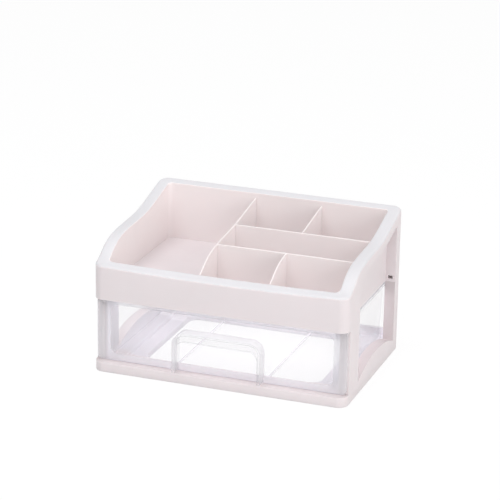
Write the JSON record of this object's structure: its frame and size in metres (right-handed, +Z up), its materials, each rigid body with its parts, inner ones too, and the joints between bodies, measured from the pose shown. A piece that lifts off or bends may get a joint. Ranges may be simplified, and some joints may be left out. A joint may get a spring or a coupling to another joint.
{
  "type": "makeup storage box",
  "caption": "Desktop makeup organiser: an open divided tray with a swept rim on a drawer frame with side windows and a clear pull-out drawer with an arched handle.",
  "frame": {"origin": "on the floor, under the middle of the whole box with its handle", "axes": "+X to the right seen from the front, +Y to the back, +Z up"},
  "size_m": [0.25, 0.177, 0.1433],
  "materials": {
    "body_plastic": "satin moulded plastic, pale pinkish white",
    "divider_plastic": "satin moulded plastic, pale pinkish white",
    "clear_plastic": "clear polished plastic"
  },
  "bodies": {
    "housing": {"top_tray": "body_plastic", "long_divider": "divider_plastic", "rear_cross_divider": "divider_plastic", "front_cross_divider": "divider_plastic", "rear_short_divider": "divider_plastic", "front_short_divider": "divider_plastic", "right_side_frame": "body_plastic", "left_side_frame": "body_plastic", "base_frame": "body_plastic"},
    "drawer": {"drawer_tub": "clear_plastic", "drawer_front": "clear_plastic", "drawer_handle": "clear_plastic"}
  },
  "joints": [
    {"name": "drawer_slide", "type": "slide", "parent": "housing", "child": "drawer", "axis": [0, -1, 0], "range_m": [0, 0.125]}
  ]
}
